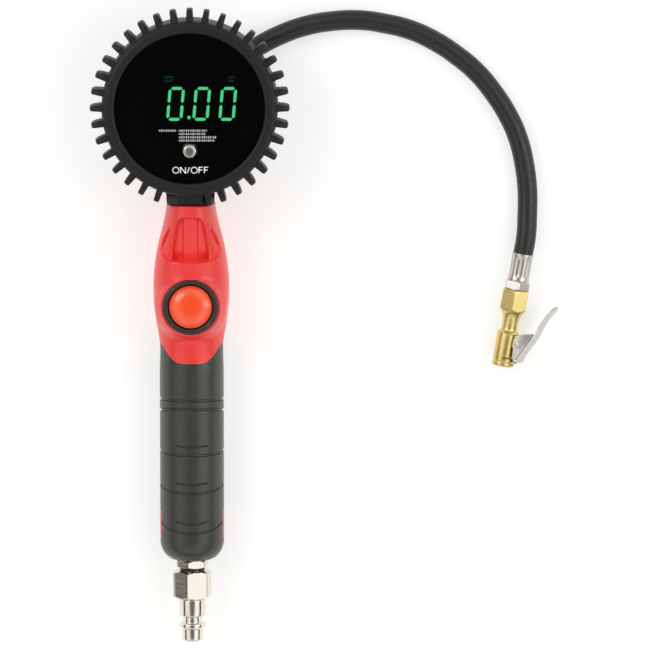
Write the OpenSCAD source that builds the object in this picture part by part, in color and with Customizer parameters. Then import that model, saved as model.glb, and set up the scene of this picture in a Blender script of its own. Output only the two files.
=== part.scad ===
// Hand-held tyre inflator with a digital gauge, lying on its back. Millimetres.
// +Y runs from the air inlet to the gauge, +Z out of the gauge's face and +X to its right.
// Z = 0 is the surface that it lies on. The origin is below the middle of its length.

/* [Gauge] */
// Distance of the gauge's centre from the origin, along Y
gauge_y = 103; // [102.5:0.1:104]
// Radius of the gauge case
case_r = 37.4; // [37:0.1:37.8]
// Height of the gauge's back above the surface
gauge_back_z = 16; // [15.8:0.1:16.4]
// Height of the boot's front above the surface
gauge_front_z = 46; // [45.8:0.1:47]
// Outer radius of the boot, without its ribs
boot_r = 40; // [39.6:0.1:40.5]
// Radius to the tips of the ribs
rib_tip_r = 45.4; // [43:0.1:46]
// Angle from one rib to the next, in degrees
rib_step = 10; // [10:5:20]
// Thickness of a rib
rib_t = 2.6; // [1.6:0.1:3]
// Radius of the opening in the boot's front
window_r = 34; // [33:0.1:34.4]
// Radius of the small button on the face
power_r = 3.2; // [2.6:0.1:3.4]
// Travel of the small button
power_travel = 0.8; // [0.4:0.1:0.9]

/* [Handle] */
// Radius of the grip
grip_r = 14.75; // [14.5:0.05:15.5]
// Lower end of the grip, along Y
grip_end_y = -108.2; // [-110:0.1:-107]
// Joint between the grip and the red body, along Y
grip_top_y = -5.4; // [-6:0.1:-4]
// Upper end of the red body, along Y
body_top_y = 58; // [57.5:0.1:58.2]
// Wall thickness of the red body
wall = 2.2; // [1.8:0.1:2.4]
// Depth of the grooves in the grip
groove_depth = 0.7; // [0.3:0.1:1]

/* [Trigger] */
// Distance of the thumb button's axis from the origin, along Y
button_y = 11.5; // [11:0.1:12.5]
// Radius of the thumb button
button_r = 9.9; // [9:0.1:10]
// Travel of the thumb button
button_travel = 4; // [2:0.5:4]
// Outer radius of the ring around the thumb button
bezel_r = 12.9; // [12.5:0.1:13]

/* [Air inlet] */
// Radius of the plug's nose
nose_r = 5; // [4.8:0.1:5.1]
// Radius of the plug's collar and barrel
collar_r = 6; // [5.8:0.1:6.2]
// Radius of the plug's groove
groove_r = 4.3; // [4.1:0.1:4.5]
// Hexagon of the plug, across its flats
plug_hex = 16; // [15:0.5:17]
// Hexagon of the inlet adapter, across its flats
adapter_hex = 13; // [12:0.5:14]

/* [Hose and chuck] */
// Radius of the hose
hose_r = 4.6; // [4.2:0.1:4.6]
// Height of the chuck's axis above the surface
chuck_z = 6.7; // [6.7:0.1:7.2]
// Angle of the chuck from the tool's own axis, in degrees
chuck_turn = 10.2; // [5:0.1:15]
// Roll of the chuck about its own axis, which lifts the clip's side, in degrees
chuck_roll = 20; // [0:1:30]
// Radius of the chuck's mouth
mouth_r = 4.1; // [3.9:0.05:4.2]
// Hexagon of the chuck, across its flats
chuck_hex = 11.5; // [10.5:0.1:11.6]

/* [Hidden] */
$fn = 64;
far = 400;

// Handle: the grip's axis is one grip radius above the surface.
axis_z = grip_r;
split_z = axis_z;
core_r = 12.4;
core_bore_r = 10.2;
core_end_y = -103;
tongue = [[-14.7, 0], [-12.4, -4.3], [-10, -7.4], [-6.9, -9.4], [-4.5, -10],
          [4.5, -10], [6.9, -9.4], [10, -7.4], [12.4, -4.3], [14.7, 0]];
grooves = [-32.3, -36.1, -53.4, -57.4, -70.8, -74.9, -88.9, -93.3];
inlay_y = [-98, -85.2];
inlay_h = 7;
// Sections of the red body: place along Y, half width, back and front.
body_stations = [
    [grip_top_y, 14.9, 0.1, 29.8], [4, 16.6, 0, 32.6], [16, 17.5, 0, 34.2], [28, 17.1, 0, 36],
    [40, 15.3, 0.2, 38], [50, 12.8, 0.4, 39.2], [body_top_y, 11.2, 0.6, 39.8]
];
screw_places = [[10.6, 26], [-10.6, 26], [10.6, 0], [-10.6, 0]];
screw_seat_z = 7.6;
screw_head_r = 2.3;

// Valve: heights of the block's chambers and of the moving parts.
block_z = [3.2, 21];
port_y = 42;
stem_z = 26;
hose_z = 9;
seat_z = 14;
cap_top_z = 6.4;
valve_stem_r = 2;
button_flange_z = block_z[1] + button_travel + 2.6;
bezel_lip_z = 29.5;
bezel_top_z = 36.2;
button_top_z = 39;

// Gauge: heights, from the back to the lens.
case_back_z = gauge_back_z + 1.6;
case_floor_z = case_back_z + 2;
board_z = 33;
face_z = 40;
seal_z = 42.4;
lens_z = 43;
lens_top_z = 44.8;
battery_r = 5.25;
battery_x = 22.25;
battery_places = [gauge_y - 1.3, gauge_y + 10.2];
door_y = [gauge_y - 8.1, gauge_y + 17];
door_tab_y = door_y[1] + 4.7;
door_screw_y = door_y[1] + 2.5;
power_y = gauge_y - 19.2;
power_foot_z = 38;
window_x = [-20, 22];
window_y = [gauge_y - 9.8, gauge_y + 12.4];
stem_end_y = gauge_y - 25.3;
nut_y = [gauge_y - 33.7, gauge_y - 30.7];

// Inlet: ends of the fitting's steps, along Y.
plug_tip_y = -146.5;
plug_collar_y = -140.4;
plug_groove_y = -137.7;
plug_barrel_y = -134.9;
plug_hex_y = -126;
plug_top_y = -113.4;
adapter_hex_y = -112;

// Hose: its route from the handle's ferrule to the chuck's, and the chuck's lengths along its axis.
route = [
    [0, 73, 9], [0, 79, 9], [1.5, 88, 8.5], [5.5, 100, 7], [12, 111.5, 5.5], [20.5, 121, 4.7],
    [30, 128, 4.6], [41.5, 134, 4.6], [53, 138, 4.6], [64.5, 140, 4.6], [77, 140.5, 4.6],
    [88.5, 139, 4.6], [100.5, 136, 4.6], [111.5, 131, 4.6], [121.5, 124.5, 4.6],
    [131, 116.5, 4.6], [138.5, 107.5, 4.6], [145, 97.5, 4.6], [150, 86.5, 4.6],
    [153, 74.5, 4.6], [154.5, 62.5, 4.8], [154.5, 50.5, 5.6], [153.9, 40.2, chuck_z],
    [152.6, 33, chuck_z]
];
ferrule_len = 12.9;
tail_end = 16.9;
hex_end = 27.7;
mouth_end = 52.9;
pivot = [6.8, -41.1];

// Points and forms used by more than one piece.
function unit(v) = v / norm(v);
function tangent(line, i) = unit(line[min(i + 1, len(line) - 1)] - line[max(i - 1, 0)]);
function helix(r, z0, z1, turns, steps) =
    [for (i = [0:turns * steps])
        [r * cos(360 * i / steps), r * sin(360 * i / steps), z0 + (z1 - z0) * i / (turns * steps)]];
function power(c, n) = sign(c) * pow(abs(c), 2 / n);
function oval(w, h, n, count) =
    [for (i = [0:count - 1]) let (a = 360 * i / count) [w * power(cos(a), n), h * power(sin(a), n)]];

module sweep(line, r, sides) {
    count = len(line);
    points = [for (i = [0:count - 1])
        let (t = tangent(line, i), side = unit(cross(t, [0, 0, 1])), lift = cross(side, t))
        for (k = [0:sides - 1]) line[i] + r * (side * cos(360 * k / sides) + lift * sin(360 * k / sides))];
    walls = [for (i = [0:count - 2], k = [0:sides - 1])
        let (n = (k + 1) % sides) [i * sides + k, i * sides + n, (i + 1) * sides + n, (i + 1) * sides + k]];
    first = [for (k = [sides - 1:-1:0]) k];
    last = [for (k = [0:sides - 1]) (count - 1) * sides + k];
    polyhedron(points = points, faces = concat([first], walls, [last]));
}

module rod(r, y0, y1, z = axis_z, x = 0) {
    translate([x, y0, z]) rotate([-90, 0, 0]) cylinder(r = r, h = y1 - y0);
}

module hex_rod(af, y0, y1, z = axis_z, turn = 0) {
    translate([0, y0, z]) rotate([-90, 0, 0]) rotate([0, 0, turn])
        cylinder(d = af / cos(30), h = y1 - y0, $fn = 6);
}

module tube_y(r, bore, y0, y1, z = axis_z) {
    difference() {
        rod(r, y0, y1, z);
        rod(bore, y0 - 1, y1 + 1, z);
    }
}

module disc(r, z0, z1, x = 0, y = 0) {
    translate([x, y, z0]) cylinder(r = r, h = z1 - z0);
}

module box(x0, x1, y0, y1, z0, z1) {
    translate([x0, y0, z0]) cube([x1 - x0, y1 - y0, z1 - z0]);
}

module above(z) {
    box(-far, far, -far, far, z, far);
}

module below(z) {
    box(-far, far, -far, far, -far, z);
}

// Gauge -------------------------------------------------------------------------------------

module boot_rib(angle) {
    translate([0, gauge_y, 0]) rotate([0, 0, angle]) rotate([90, 0, 0])
        linear_extrude(rib_t, center = true)
            polygon([[boot_r - 0.8, 19], [boot_r, 19.5], [rib_tip_r - 2.5, 22.5], [rib_tip_r - 1.1, 27],
                     [rib_tip_r - 0.3, 32], [rib_tip_r, 37], [rib_tip_r - 0.2, 41.5],
                     [rib_tip_r - 0.9, 43.6], [rib_tip_r - 2, 44.3], [boot_r - 0.8, 44.4]]);
}

module neck_sleeve() {
    sections = [[body_top_y + 0.2, 11, 16.4, 37.6], [gauge_y - boot_r + 4, 11.4, 16, 38.6]];
    hull() for (s = sections) translate([0, s[0], (s[2] + s[3]) / 2]) rotate([-90, 0, 0])
        linear_extrude(0.1) polygon(oval(s[1], (s[3] - s[2]) / 2, 3.2, 24));
}

module rubber_boot() {
    skip = 2 * rib_step;
    color([0.16, 0.16, 0.15]) difference() {
        union() {
            translate([0, gauge_y, 0]) rotate_extrude()
                polygon([[31.5, gauge_back_z], [boot_r - 1, gauge_back_z], [boot_r, gauge_back_z + 1],
                         [boot_r, gauge_front_z - 2.6], [boot_r - 0.5, gauge_front_z - 1],
                         [boot_r - 1.6, gauge_front_z], [window_r + 0.4, gauge_front_z],
                         [window_r, gauge_front_z - 0.4], [window_r, lens_top_z], [case_r, lens_top_z],
                         [case_r, case_back_z], [31.5, case_back_z]]);
            for (a = [skip - 90:rib_step:270 - skip]) boot_rib(a);
            difference() {
                neck_sleeve();
                disc(case_r + 0.3, 0, gauge_front_z, 0, gauge_y);
            }
        }
        rod(6, body_top_y - 1, gauge_y - case_r + 1, stem_z);
    }
}

module gauge_case() {
    color([0.2, 0.2, 0.21]) difference() {
        disc(case_r - 0.05, case_back_z + 0.02, lens_top_z - 0.02, 0, gauge_y);
        disc(34.6, case_floor_z, lens_top_z + 1, 0, gauge_y);
        disc(35.8, seal_z, lens_top_z + 1, 0, gauge_y);
        box(-25.6, 25.6, door_y[0] - 0.2, door_y[1] + 0.2, case_back_z - 1, case_floor_z + 1);
        box(-4.2, 4.2, door_y[1], door_tab_y + 0.2, case_back_z - 1, case_floor_z + 1);
        rod(4.6, gauge_y - case_r - 2, gauge_y - 30, stem_z);
    }
}

module lens() {
    color([0.04, 0.05, 0.06]) difference() {
        disc(35.7, lens_z, lens_top_z - 0.05, 0, gauge_y);
        disc(power_r + 0.3, lens_z - 1, lens_top_z + 1, 0, power_y);
    }
}

module lens_seal() {
    color([0.1, 0.1, 0.1]) difference() {
        disc(35.6, seal_z, lens_z, 0, gauge_y);
        disc(34.7, seal_z - 1, lens_z + 1, 0, gauge_y);
    }
}

module face_plate() {
    color([0.03, 0.03, 0.03]) difference() {
        disc(34.3, face_z, face_z + 1, 0, gauge_y);
        box(window_x[0], window_x[1], window_y[0], window_y[1], face_z - 1, face_z + 2);
        disc(power_r + 0.3, face_z - 1, face_z + 2, 0, power_y);
    }
}

module display_module() {
    color([0.1, 0.16, 0.12]) box(window_x[0] - 1.5, window_x[1] + 1.5, window_y[0] - 1, window_y[1] + 1,
                                 board_z + 1.6, face_z);
}

module circuit_board() {
    color([0.1, 0.35, 0.18]) {
        disc(33.5, board_z, board_z + 1.6, 0, gauge_y);
        disc(3, board_z + 1.5, power_foot_z - power_travel - 0.2, 0, power_y);
    }
}

module batteries() {
    color([0.75, 0.6, 0.25]) for (y = battery_places) {
        translate([-battery_x, y, case_floor_z + 0.2 + battery_r]) rotate([0, 90, 0])
            cylinder(r = battery_r, h = 2 * battery_x - 1);
        translate([battery_x - 1.1, y, case_floor_z + 0.2 + battery_r]) rotate([0, 90, 0])
            cylinder(r = 1.8, h = 1.1);
    }
}

module battery_contacts() {
    color([0.8, 0.8, 0.78]) for (y = battery_places, x = [-battery_x - 0.55, battery_x + 0.05])
        box(x, x + 0.5, y - 4, y + 4, case_floor_z + 0.5, board_z - 0.6);
}

module battery_door() {
    color([0.2, 0.2, 0.21]) difference() {
        union() {
            box(-25.4, 25.4, door_y[0], door_y[1], case_back_z + 0.05, case_floor_z - 0.1);
            box(-4, 4, door_y[1] - 0.1, door_tab_y, case_back_z + 0.05, case_floor_z - 0.1);
        }
        disc(1.2, case_back_z - 1, case_floor_z + 1, 0, door_screw_y);
        disc(2.2, case_back_z - 1, case_back_z + 1, 0, door_screw_y);
    }
}

module door_screw() {
    color([0.7, 0.7, 0.7]) {
        disc(2, case_back_z + 0.1, case_back_z + 1, 0, door_screw_y);
        disc(1, case_back_z + 0.9, case_floor_z + 5, 0, door_screw_y);
    }
}

module gauge_stem() {
    color([0.8, 0.68, 0.35]) difference() {
        union() {
            rod(4.85, 45, 53.2, stem_z);
            hex_rod(13, 53, 57, stem_z);
            rod(4.4, 56.8, stem_end_y, stem_z);
        }
        rod(1.5, 44, stem_end_y + 1, stem_z);
    }
}

module stem_washer() {
    color([0.75, 0.5, 0.3]) tube_y(6.6, 4.9, 52.05, 52.95, stem_z);
}

module stem_nut() {
    color([0.8, 0.68, 0.35]) difference() {
        hex_rod(12, nut_y[0], nut_y[1], stem_z);
        rod(4.42, nut_y[0] - 1, nut_y[1] + 1, stem_z);
    }
}

module pressure_sensor() {
    color([0.75, 0.75, 0.76]) rod(5.5, stem_end_y, stem_end_y + 8, stem_z);
}

module power_button() {
    color([0.85, 0.85, 0.86]) {
        disc(power_r, power_foot_z, gauge_front_z - 0.6, 0, power_y);
        disc(power_r - 0.6, gauge_front_z - 0.7, gauge_front_z - 0.1, 0, power_y);
        disc(power_r + 0.9, power_foot_z, power_foot_z + 1, 0, power_y);
    }
}

// Red body and grip ---------------------------------------------------------------------------

module body_form(inset) {
    hull() for (s = body_stations)
        translate([0, s[0], (s[2] + s[3]) / 2]) rotate([-90, 0, 0]) linear_extrude(0.05)
            polygon(oval(s[1] - inset, (s[3] - s[2]) / 2 - inset, 2.3, 36));
}

module body_cavity() {
    intersection() {
        body_form(wall);
        box(-far, far, grip_top_y + wall, body_top_y - wall, -far, far);
    }
}

// A boss with a web that ties it to the shell's side.
module screw_boss(p, z0, z1) {
    web = 8;
    disc(3, z0, z1, p[0], p[1]);
    translate([p[0] + sign(p[0]) * web / 2, p[1], (z0 + z1) / 2]) cube([web, 2, z1 - z0], center = true);
}

module handle_core() {
    tube_y(core_r, core_bore_r, core_end_y, grip_top_y + wall);
}

module inlay_pads(room) {
    for (x = [-1, 1]) intersection() {
        tube_y(grip_r - 0.15 + room, core_r - 0.5, inlay_y[0] - room, inlay_y[1] + room);
        translate([x * grip_r, 0, axis_z]) box(-6, 6, -far, far, -inlay_h / 2 - room, inlay_h / 2 + room);
    }
}

module tongue_form(room) {
    intersection() {
        tube_y(grip_r - 0.02 + room, core_r - 0.2, grip_top_y - 12, grip_top_y + wall);
        translate([0, grip_top_y - room, axis_z]) linear_extrude(far) polygon(tongue);
    }
}

module body_front() {
    color([0.85, 0.2, 0.18]) difference() {
        union() {
            intersection() {
                union() {
                    difference() {
                        body_form(0);
                        body_cavity();
                    }
                    intersection() {
                        body_form(0);
                        for (p = screw_places) screw_boss(p, split_z, 22);
                    }
                    handle_core();
                    inlay_pads(0);
                }
                above(split_z);
            }
            disc(15, 30.6, 34.4, 0, button_y);
            tongue_form(0);
        }
        rod(core_bore_r, core_end_y - 1, grip_top_y + wall + 1);
        disc(bezel_r + 0.05, split_z, far, 0, button_y);
        rod(7.8, body_top_y - 3, body_top_y + 1, stem_z);
        for (p = screw_places) disc(1.3, split_z - 1, 20, p[0], p[1]);
        for (x = [-8.2, 3.2]) translate([x, 42, 82]) rotate([0, 90, 0]) cylinder(r = 45, h = 5);
    }
}

module body_rear() {
    color([0.85, 0.2, 0.18]) difference() {
        intersection() {
            union() {
                difference() {
                    body_form(0);
                    body_cavity();
                }
                intersection() {
                    body_form(0);
                    for (p = screw_places) screw_boss(p, 0, split_z);
                }
                handle_core();
                inlay_pads(0);
            }
            below(split_z);
        }
        rod(core_bore_r, core_end_y - 1, grip_top_y + wall + 1);
        rod(5.2, body_top_y - 3, body_top_y + 1, hose_z);
        for (p = screw_places) {
            disc(1.5, -1, split_z + 1, p[0], p[1]);
            disc(screw_head_r + 0.25, -1, screw_seat_z, p[0], p[1]);
        }
    }
}

module shell_screws() {
    color([0.25, 0.25, 0.26]) for (p = screw_places) difference() {
        union() {
            disc(screw_head_r, screw_seat_z - 1.6, screw_seat_z, p[0], p[1]);
            disc(1.25, screw_seat_z - 0.1, 19, p[0], p[1]);
        }
        disc(1.1, screw_seat_z - 2, screw_seat_z - 0.9, p[0], p[1], $fn = 6);
    }
}

module grip_sleeve() {
    start = core_end_y + 4.6;
    steps = 8;
    round_end = [for (i = [0:steps]) let (a = 90 * i / steps)
        [6.9 + (grip_r - 6.9) * cos(a), start + (grip_end_y - start) * sin(a)]];
    color([0.3, 0.3, 0.29]) difference() {
        translate([0, 0, axis_z]) rotate([-90, 0, 0]) rotate_extrude()
            polygon(concat([[core_r + 0.1, grip_top_y - 0.1], [grip_r, grip_top_y - 0.1]], round_end,
                           [[6.3, grip_end_y], [6.3, core_end_y - 0.2], [core_r + 0.1, core_end_y - 0.2]]));
        for (y = grooves) tube_y(grip_r + 1, grip_r - groove_depth, y - 0.45, y + 0.45);
        tongue_form(0.12);
        inlay_pads(0.1);
    }
}

// Trigger and valve ---------------------------------------------------------------------------

module button_bezel() {
    color([0.2, 0.2, 0.19]) translate([0, button_y, 0]) rotate_extrude()
        polygon([[11.5, 27], [bezel_r, 27], [bezel_r, bezel_top_z - 1], [bezel_r - 1, bezel_top_z],
                 [button_r + 0.7, bezel_top_z], [button_r + 0.3, bezel_top_z - 0.4],
                 [button_r + 0.3, bezel_lip_z], [11.5, bezel_lip_z]]);
}

module trigger_button() {
    steps = 8;
    dome = [for (i = [0:steps]) let (a = 90 * i / steps)
        [button_r * cos(a), bezel_top_z - 0.6 + (button_top_z - bezel_top_z + 0.6) * sin(a)]];
    color([1, 0.32, 0.15]) translate([0, button_y, 0]) rotate_extrude()
        polygon(concat([[0, 28], [2.5, 28], [2.5, 33], [8.2, 33], [8.2, button_flange_z],
                        [11.2, button_flange_z], [11.2, 29.2], [button_r, 29.2]], dome));
}

module valve_stem() {
    color([0.82, 0.8, 0.75]) {
        disc(valve_stem_r, 13, 28, 0, button_y);
        disc(3.8, 11.8, 13.2, 0, button_y);
        disc(1.5, cap_top_z + button_travel + 0.2, 12, 0, button_y);
    }
}

module poppet_seal() {
    color([0.12, 0.12, 0.12]) difference() {
        disc(3.8, 13.2, seat_z, 0, button_y);
        disc(valve_stem_r, 13, seat_z + 1, 0, button_y);
    }
}

module stem_seal() {
    color([0.12, 0.12, 0.12]) difference() {
        disc(3.2, 18.6, 20, 0, button_y);
        disc(valve_stem_r + 0.05, 18, 21, 0, button_y);
    }
}

module trigger_spring() {
    color([0.7, 0.7, 0.72]) translate([0, button_y, 0])
        sweep(helix(4.6, block_z[1] + 0.6, 32.4, 5, 8), 0.5, 6);
}

module valve_spring() {
    color([0.7, 0.7, 0.72]) translate([0, button_y, 0])
        sweep(helix(2.9, cap_top_z + 0.4, 11.3, 4, 8), 0.35, 6);
}

module valve_cap() {
    color([0.8, 0.68, 0.35]) difference() {
        disc(4.45, block_z[0], cap_top_z, 0, button_y);
        disc(2, block_z[0] - 1, 5, 0, button_y, $fn = 6);
    }
}

module valve_block() {
    color([0.68, 0.68, 0.7]) difference() {
        union() {
            intersection() {
                union() {
                    box(-7.4, 7.4, -3, 50, block_z[0], block_z[1]);
                    box(-6, 6, port_y - 5, 50, block_z[1] - 1, stem_z);
                    rod(6.8, port_y - 5, 52, stem_z);
                }
                body_form(wall + 0.25);
            }
            rod(9, -16, -2.9);
        }
        disc(4.5, block_z[0] - 1, seat_z, 0, button_y);
        disc(2.6, seat_z - 1, 16, 0, button_y);
        disc(3.6, 15.5, 18, 0, button_y);
        disc(valve_stem_r + 0.08, 17, block_z[1] + 1, 0, button_y);
        disc(3.25, 18.55, 20.05, 0, button_y);
        rod(3.5, -6.5, -3.5);
        rod(5.8, -17, -6);
        rod(2, -5, button_y - 2, 11.7);
        rod(1.2, button_y, port_y, 16.8);
        disc(1.8, hose_z, stem_z, 0, port_y);
        rod(1.8, port_y, 46, stem_z);
        rod(4.9, 44.9, 53, stem_z);
        rod(1.8, port_y, 46, hose_z);
        rod(4.9, 44.9, 51, hose_z);
    }
}

// Air inlet -----------------------------------------------------------------------------------

module inlet_tube() {
    color([0.6, 0.6, 0.62]) tube_y(5.75, 3.5, -104, -6);
}

module inlet_adapter() {
    color([0.9, 0.88, 0.84]) difference() {
        union() {
            rod(6.2, -108.4, -104.1);
            hex_rod(adapter_hex, adapter_hex_y, -108.3, turn = 19);
            rod(5, plug_top_y - 6, adapter_hex_y + 0.1);
        }
        rod(3.3, plug_top_y - 7, -103);
    }
}

module inlet_oring() {
    color([0.1, 0.1, 0.1]) tube_y(6.6, 5.1, plug_top_y + 0.05, adapter_hex_y - 0.05);
}

module inlet_filter() {
    color([0.72, 0.5, 0.3]) rod(3.25, -112, -107);
}

module coupler_plug() {
    tip = 1.2;
    color([0.9, 0.88, 0.84]) difference() {
        union() {
            hex_rod(plug_hex, plug_hex_y, plug_top_y, turn = 19);
            translate([0, 0, axis_z]) rotate([-90, 0, 0]) rotate_extrude()
                polygon([[0, plug_tip_y], [nose_r - tip, plug_tip_y], [nose_r, plug_tip_y + tip],
                         [nose_r, plug_collar_y], [collar_r - 0.5, plug_collar_y],
                         [collar_r, plug_collar_y + 0.5], [collar_r, plug_groove_y - 0.5],
                         [collar_r - 0.5, plug_groove_y], [groove_r, plug_groove_y],
                         [groove_r, plug_barrel_y], [collar_r, plug_barrel_y + 0.6],
                         [collar_r, plug_hex_y + 0.1], [0, plug_hex_y + 0.1]]);
        }
        rod(2.9, plug_tip_y - 1, -118);
        rod(5.05, plug_top_y - 6.1, -112);
        rod(3.3, -121, -118.5);
    }
}

// Hose and chuck ------------------------------------------------------------------------------

module hose_fitting() {
    color([0.8, 0.68, 0.35]) difference() {
        union() {
            rod(4.85, 45, 58.2, hose_z);
            hex_rod(12.4, body_top_y + 0.1, 62.8, hose_z);
            rod(2.6, 62.7, 72, hose_z);
        }
        rod(1.6, 44, 73, hose_z);
    }
}

module ferrule_inner() {
    color([0.72, 0.72, 0.7]) tube_y(5.2, 2.7, 62.85, 73, hose_z);
}

module hose() {
    color([0.15, 0.15, 0.15]) sweep(route, hose_r, 12);
}

// The chuck lies along -Y of its own frame, which starts where the hose ends.
module at_chuck() {
    translate(route[len(route) - 1]) rotate([0, 0, -chuck_turn]) rotate([0, -chuck_roll, 0]) children();
}

module ferrule_outer() {
    color([0.74, 0.74, 0.71]) at_chuck() tube_y(5.2, 2.7, -ferrule_len, 0, 0);
}

module hose_tail() {
    color([0.86, 0.82, 0.79]) at_chuck() difference() {
        union() {
            rod(2.6, -ferrule_len, -1, 0);
            hex_rod(10.2, -tail_end, -ferrule_len, 0);
            rod(3.3, -tail_end - 5, -tail_end, 0);
        }
        rod(1.5, -tail_end - 6, 1, 0);
    }
}

module chuck_body() {
    color([0.82, 0.72, 0.38]) at_chuck() difference() {
        union() {
            hex_rod(chuck_hex, -hex_end, -tail_end - 0.02, 0, -15);
            rotate([-90, 0, 0]) rotate_extrude()
                polygon([[0, -mouth_end], [4.9, -mouth_end], [5.05, -mouth_end + 0.3], [5.05, -38],
                         [5.15, -37.7], [5.15, -37.2], [4.3, -36.7], [3.85, -35.7], [3.7, -34],
                         [3.8, -31.6], [4.3, -29.3], [5.4, -hex_end + 0.1], [0, -hex_end + 0.1]]);
            translate([pivot[0], pivot[1], -3.5]) cylinder(r = 2.1, h = 7);
            box(3, pivot[0], pivot[1] - 2, pivot[1] + 2, -3.5, 3.5);
        }
        rod(3.35, -tail_end - 5.1, -tail_end + 1, 0);
        rod(2, -46.5, -tail_end, 0);
        rod(mouth_r, -mouth_end - 1, -46, 0);
        rod(4.5, -46.05, -43, 0);
        translate([pivot[0], pivot[1], -6]) cylinder(r = 1.25, h = 12);
        box(4.6, 12, pivot[1] - 3, pivot[1] + 3, -1.3, 1.3);
        box(3.5, 8, -mouth_end + 0.9, -48.4, -3, 3);
    }
}

module chuck_seal() {
    color([0.12, 0.12, 0.12]) at_chuck() tube_y(4.45, 1.7, -45.85, -43.05, 0);
}

module core_depressor() {
    color([0.82, 0.72, 0.38]) at_chuck() {
        rod(0.9, -45.8, -41, 0);
        box(-1.95, 1.95, -41.1, -40, -0.5, 0.5);
    }
}

module clip_lever() {
    tip = [20.4, -20.7];
    kink = [15.6, -28.7];
    bend = [13.0, -36.8];
    heel = [7.7, -47.5];
    hook = [8.1, -50.2];
    t = 1.1;
    color([0.83, 0.82, 0.8]) at_chuck() difference() {
        union() {
            translate([0, 0, -4.6]) linear_extrude(9.2)
                polygon([tip, kink, bend, heel, hook, [4.4, -50.6], [4.4, -49.6], hook + [-t, t],
                         heel + [-t, 0.2], bend + [-t, 0.9], kink + [-0.7, 1.1], tip + [-0.9, -0.5]]);
            for (z = [-4.8, 3.8]) translate([0, 0, z]) linear_extrude(1)
                polygon([bend + [0, 0.4], heel, [5.2, -48.6], [5, -38.2], [9, -36.4], [12.1, -35.9]]);
        }
        translate([pivot[0], pivot[1], -6]) cylinder(r = 1.3, h = 12);
    }
}

module clip_pin() {
    color([0.7, 0.7, 0.7]) at_chuck() translate([pivot[0], pivot[1], -5.4]) {
        cylinder(r = 1.22, h = 10.8);
        cylinder(r = 1.9, h = 0.5);
    }
}

module clip_spring() {
    color([0.6, 0.6, 0.62]) at_chuck() translate([pivot[0], pivot[1], -1.1]) difference() {
        cylinder(r = 2, h = 2.2);
        translate([0, 0, -1]) cylinder(r = 1.35, h = 5);
    }
}

rubber_boot();
gauge_case();
lens();
lens_seal();
face_plate();
display_module();
circuit_board();
batteries();
battery_contacts();
battery_door();
door_screw();
pressure_sensor();
gauge_stem();
stem_nut();
stem_washer();
power_button();
body_front();
body_rear();
shell_screws();
grip_sleeve();
button_bezel();
trigger_button();
valve_stem();
poppet_seal();
stem_seal();
trigger_spring();
valve_spring();
valve_cap();
valve_block();
inlet_tube();
inlet_adapter();
inlet_oring();
inlet_filter();
coupler_plug();
hose_fitting();
ferrule_inner();
hose();
ferrule_outer();
hose_tail();
chuck_body();
chuck_seal();
core_depressor();
clip_lever();
clip_pin();
clip_spring();
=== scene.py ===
from math import cos, pi, radians, sin, sqrt, tan

import bmesh
import bpy
import numpy as np
from mathutils import Matrix, Vector


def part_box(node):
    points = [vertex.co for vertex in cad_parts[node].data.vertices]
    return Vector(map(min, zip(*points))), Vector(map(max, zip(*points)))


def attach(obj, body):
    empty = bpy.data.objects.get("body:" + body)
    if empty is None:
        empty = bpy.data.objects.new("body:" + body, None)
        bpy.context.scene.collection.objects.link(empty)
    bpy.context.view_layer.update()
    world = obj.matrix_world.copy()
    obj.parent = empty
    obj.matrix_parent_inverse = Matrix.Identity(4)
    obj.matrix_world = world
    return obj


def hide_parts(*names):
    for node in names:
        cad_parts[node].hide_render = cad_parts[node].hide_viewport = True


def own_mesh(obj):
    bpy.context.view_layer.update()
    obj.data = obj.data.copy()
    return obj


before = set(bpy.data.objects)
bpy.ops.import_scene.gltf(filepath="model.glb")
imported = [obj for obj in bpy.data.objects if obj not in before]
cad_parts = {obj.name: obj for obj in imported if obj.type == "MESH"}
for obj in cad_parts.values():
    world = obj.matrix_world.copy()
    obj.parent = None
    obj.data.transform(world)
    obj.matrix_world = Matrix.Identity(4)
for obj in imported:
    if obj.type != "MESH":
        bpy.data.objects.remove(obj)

# Lengths are in millimetres unless a comment says metres.
MM = 0.001
MERGE = 0.002 * MM          # in metres: points closer than this become one
scene = bpy.context.scene
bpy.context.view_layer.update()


def box_mm(node):
    """Lowest and highest corner of a CAD node, in millimetres."""
    lo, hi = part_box(node)
    return np.array(lo) / MM, np.array(hi) / MM


def middle(node):
    lo, hi = box_mm(node)
    return (lo + hi) / 2


def add_object(name, data):
    piece = bpy.data.objects.new(name, data)
    scene.collection.objects.link(piece)
    return piece


AXIS_Z = middle("grip_sleeve")[2]
GRIP_LO, GRIP_HI = box_mm("grip_sleeve")
GRIP_R = (GRIP_HI[0] - GRIP_LO[0]) / 2
BODY_LO, BODY_HI = box_mm("body_front")
BODY_TOP = BODY_HI[1]
BODY_FOOT = GRIP_HI[1] + 0.1
SPLIT_Z = BODY_LO[2]
GAUGE = middle("lens")
BOOT_LO, BOOT_HI = box_mm("rubber_boot")
RIB_TIP_R = BOOT_HI[0]
BUTTON = middle("trigger_button")
BEZEL_TOP = box_mm("button_bezel")[1][2]
HOSE_R = 4.6
CHUCK_TURN = radians(10.2)
CHUCK_ROLL = radians(20)

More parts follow.
